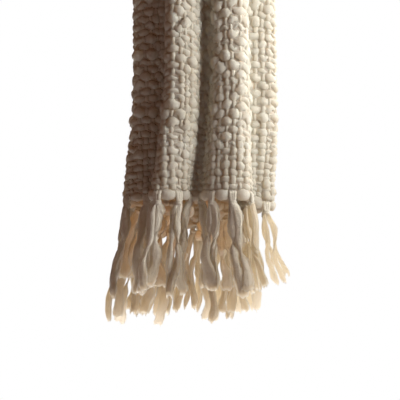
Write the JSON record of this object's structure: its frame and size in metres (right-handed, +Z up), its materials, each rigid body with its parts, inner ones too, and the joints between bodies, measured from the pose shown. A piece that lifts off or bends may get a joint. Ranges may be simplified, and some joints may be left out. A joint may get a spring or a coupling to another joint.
{
  "type": "hanging chunky woven throw blanket",
  "caption": "Cream throw of thick, uneven wool yarn in plain weave with a knotted fringe, hanging in deep folds as over a rail, which is left out.",
  "frame": {"origin": "middle of the underside of the bend, where the crown of the rail would touch the cloth", "axes": "+Z up, -Y towards the front leg, +X to the right seen from the front, along the rail"},
  "size_m": [0.3851, 0.2858, 1.0415],
  "materials": {
    "wool_weave": "matt, thick uneven cream wool yarn in plain weave",
    "wool_roving": "matt, soft untwisted cream wool roving"
  },
  "bodies": {
    "root": {"throw": "wool_weave", "fringe_front": "wool_roving", "fringe_back": "wool_roving"}
  },
  "joints": []
}
